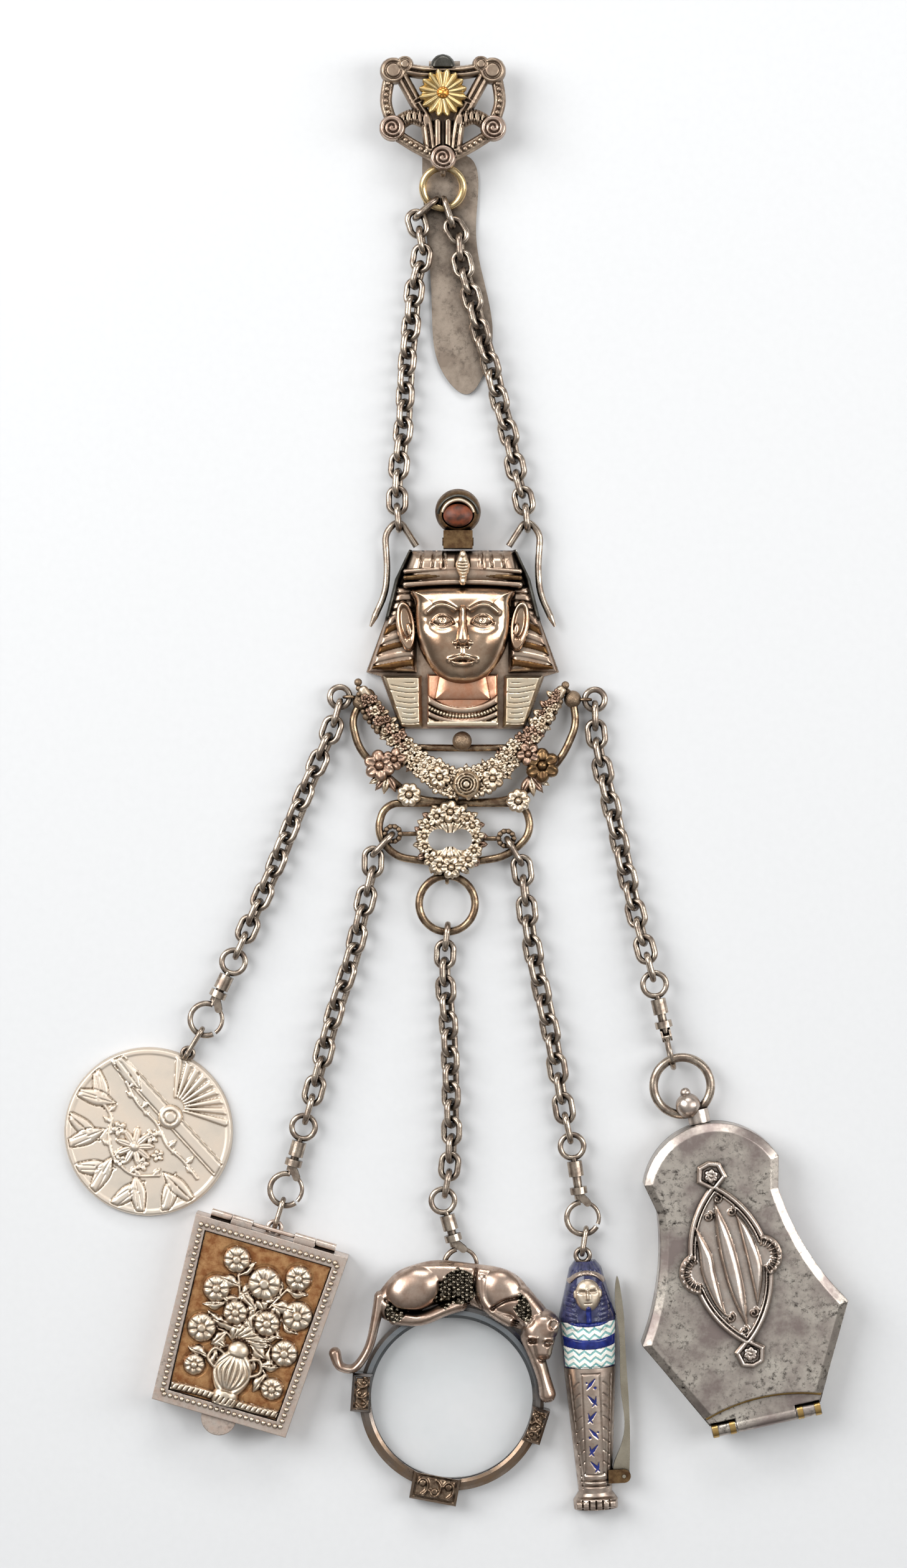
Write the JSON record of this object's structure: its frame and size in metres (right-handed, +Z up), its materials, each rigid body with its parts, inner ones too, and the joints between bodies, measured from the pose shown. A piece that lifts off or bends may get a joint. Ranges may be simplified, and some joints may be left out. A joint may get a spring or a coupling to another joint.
{
  "type": "chatelaine",
  "caption": "Belt clip with chains, a mask and flower garland, and swivel clips that carry a disc, two hinged cases, a lens and a mummy-shaped knife.",
  "frame": {"origin": "middle of the jewel's outline on the surface that it lies on", "axes": "+Y towards the belt clip, +X to the right seen from the front, +Z up from the surface"},
  "size_m": [0.151, 0.2802, 0.0105],
  "materials": {
    "antique_silver": "tarnished cast and drawn silver, dark in its hollows",
    "pale_gold": "pale gilt, satin",
    "gilt_face": "polished pale gilt",
    "copper_gilt": "coppery gilt, satin",
    "stone": "matt reddish brown stone",
    "champagne_silver": "struck silver with a warm toning",
    "rose_silver": "satin silver with a rose toning",
    "steel": "dark blued steel",
    "glass": "clear polished glass",
    "enamel": "fired enamel in blues and white"
  },
  "bodies": {
    "root": {"clip_plaque": "antique_silver", "clip_daisy": "pale_gold", "clip_tongue": "antique_silver", "clip_ring": "pale_gold", "headdress": "antique_silver", "chest": "copper_gilt", "face": "gilt_face", "brow_snake": "pale_gold", "sun_setting": "antique_silver", "sun_stone": "stone", "bail_wire_left": "antique_silver", "bail_wire_right": "antique_silver", "garland_frame": "antique_silver", "garland": "pale_gold", "wreath": "pale_gold", "centre_ring": "antique_silver", "upper_chain_left": "antique_silver", "upper_chain_right": "antique_silver", "chain_1": "antique_silver", "chain_2": "antique_silver", "chain_3": "antique_silver", "chain_4": "antique_silver", "chain_5": "antique_silver", "swivel_eye_1": "antique_silver", "hook_1": "antique_silver", "swivel_eye_2": "antique_silver", "hook_2": "antique_silver", "swivel_eye_3": "antique_silver", "hook_3": "antique_silver", "swivel_eye_4": "antique_silver", "hook_4": "antique_silver", "swivel_eye_5": "antique_silver", "hook_5": "antique_silver", "disc": "champagne_silver", "disc_bail": "antique_silver", "plaque_case_tray": "antique_silver", "plaque_case_pin": "antique_silver", "plaque_bail": "antique_silver", "lens_bezel": "steel", "lens_glass": "glass", "lioness": "rose_silver", "mummy_upper": "enamel", "mummy_lower": "antique_silver", "mummy_face": "gilt_face", "mummy_bail": "antique_silver", "shield_tray": "antique_silver", "shield_pin": "antique_silver", "shield_bow": "antique_silver", "shield_stud": "antique_silver"},
    "shield_lid": {"shield_lid": "antique_silver", "shield_cartouche": "antique_silver"},
    "plaque_lid": {"plaque_case_lid": "antique_silver", "plaque_relief": "rose_silver"},
    "knife_blade": {"mummy_blade": "steel"},
    "gate_1": {"gate_1": "antique_silver"},
    "gate_2": {"gate_2": "antique_silver"},
    "gate_3": {"gate_3": "antique_silver"},
    "gate_4": {"gate_4": "antique_silver"},
    "gate_5": {"gate_5": "antique_silver"}
  },
  "joints": [
    {"name": "shield_lid_hinge", "type": "hinge", "parent": "root", "child": "shield_lid", "pos_m": [0.05985, -0.12208, 0.0062], "axis": [0.9763, 0.2164, 0], "range_deg": [0, 110]},
    {"name": "plaque_lid_hinge", "type": "hinge", "parent": "root", "child": "plaque_lid", "pos_m": [-0.03476, -0.08585, 0.0056], "axis": [-0.9598, 0.2807, 0], "range_deg": [0, 100]},
    {"name": "knife_blade_pivot", "type": "hinge", "parent": "root", "child": "knife_blade", "pos_m": [0.03263, -0.13338, 0.0028], "axis": [0, 0, -1], "range_deg": [0, 6]},
    {"name": "gate_1_pivot", "type": "hinge", "parent": "root", "child": "gate_1", "pos_m": [-0.04553, -0.04352, 0.00245], "axis": [0, 0, -1], "range_deg": [0, 8], "stiffness_Nm_per_rad": 0.001, "springref_deg": -11.46},
    {"name": "gate_2_pivot", "type": "hinge", "parent": "root", "child": "gate_2", "pos_m": [-0.0305, -0.07596, 0.00245], "axis": [0, 0, -1], "range_deg": [0, 8], "stiffness_Nm_per_rad": 0.001, "springref_deg": -11.46},
    {"name": "gate_3_pivot", "type": "hinge", "parent": "root", "child": "gate_3", "pos_m": [0.00168, -0.08975, 0.00245], "axis": [0, 0, -1], "range_deg": [0, 8], "stiffness_Nm_per_rad": 0.001, "springref_deg": -11.46},
    {"name": "gate_4_pivot", "type": "hinge", "parent": "root", "child": "gate_4", "pos_m": [0.02561, -0.08085, 0.00245], "axis": [0, 0, -1], "range_deg": [0, 8], "stiffness_Nm_per_rad": 0.001, "springref_deg": -11.46},
    {"name": "gate_5_pivot", "type": "hinge", "parent": "root", "child": "gate_5", "pos_m": [0.04083, -0.04891, 0.00511], "axis": [0.9749, 0.2227, 0], "range_deg": [0, 8], "stiffness_Nm_per_rad": 0.001, "springref_deg": -11.46}
  ]
}
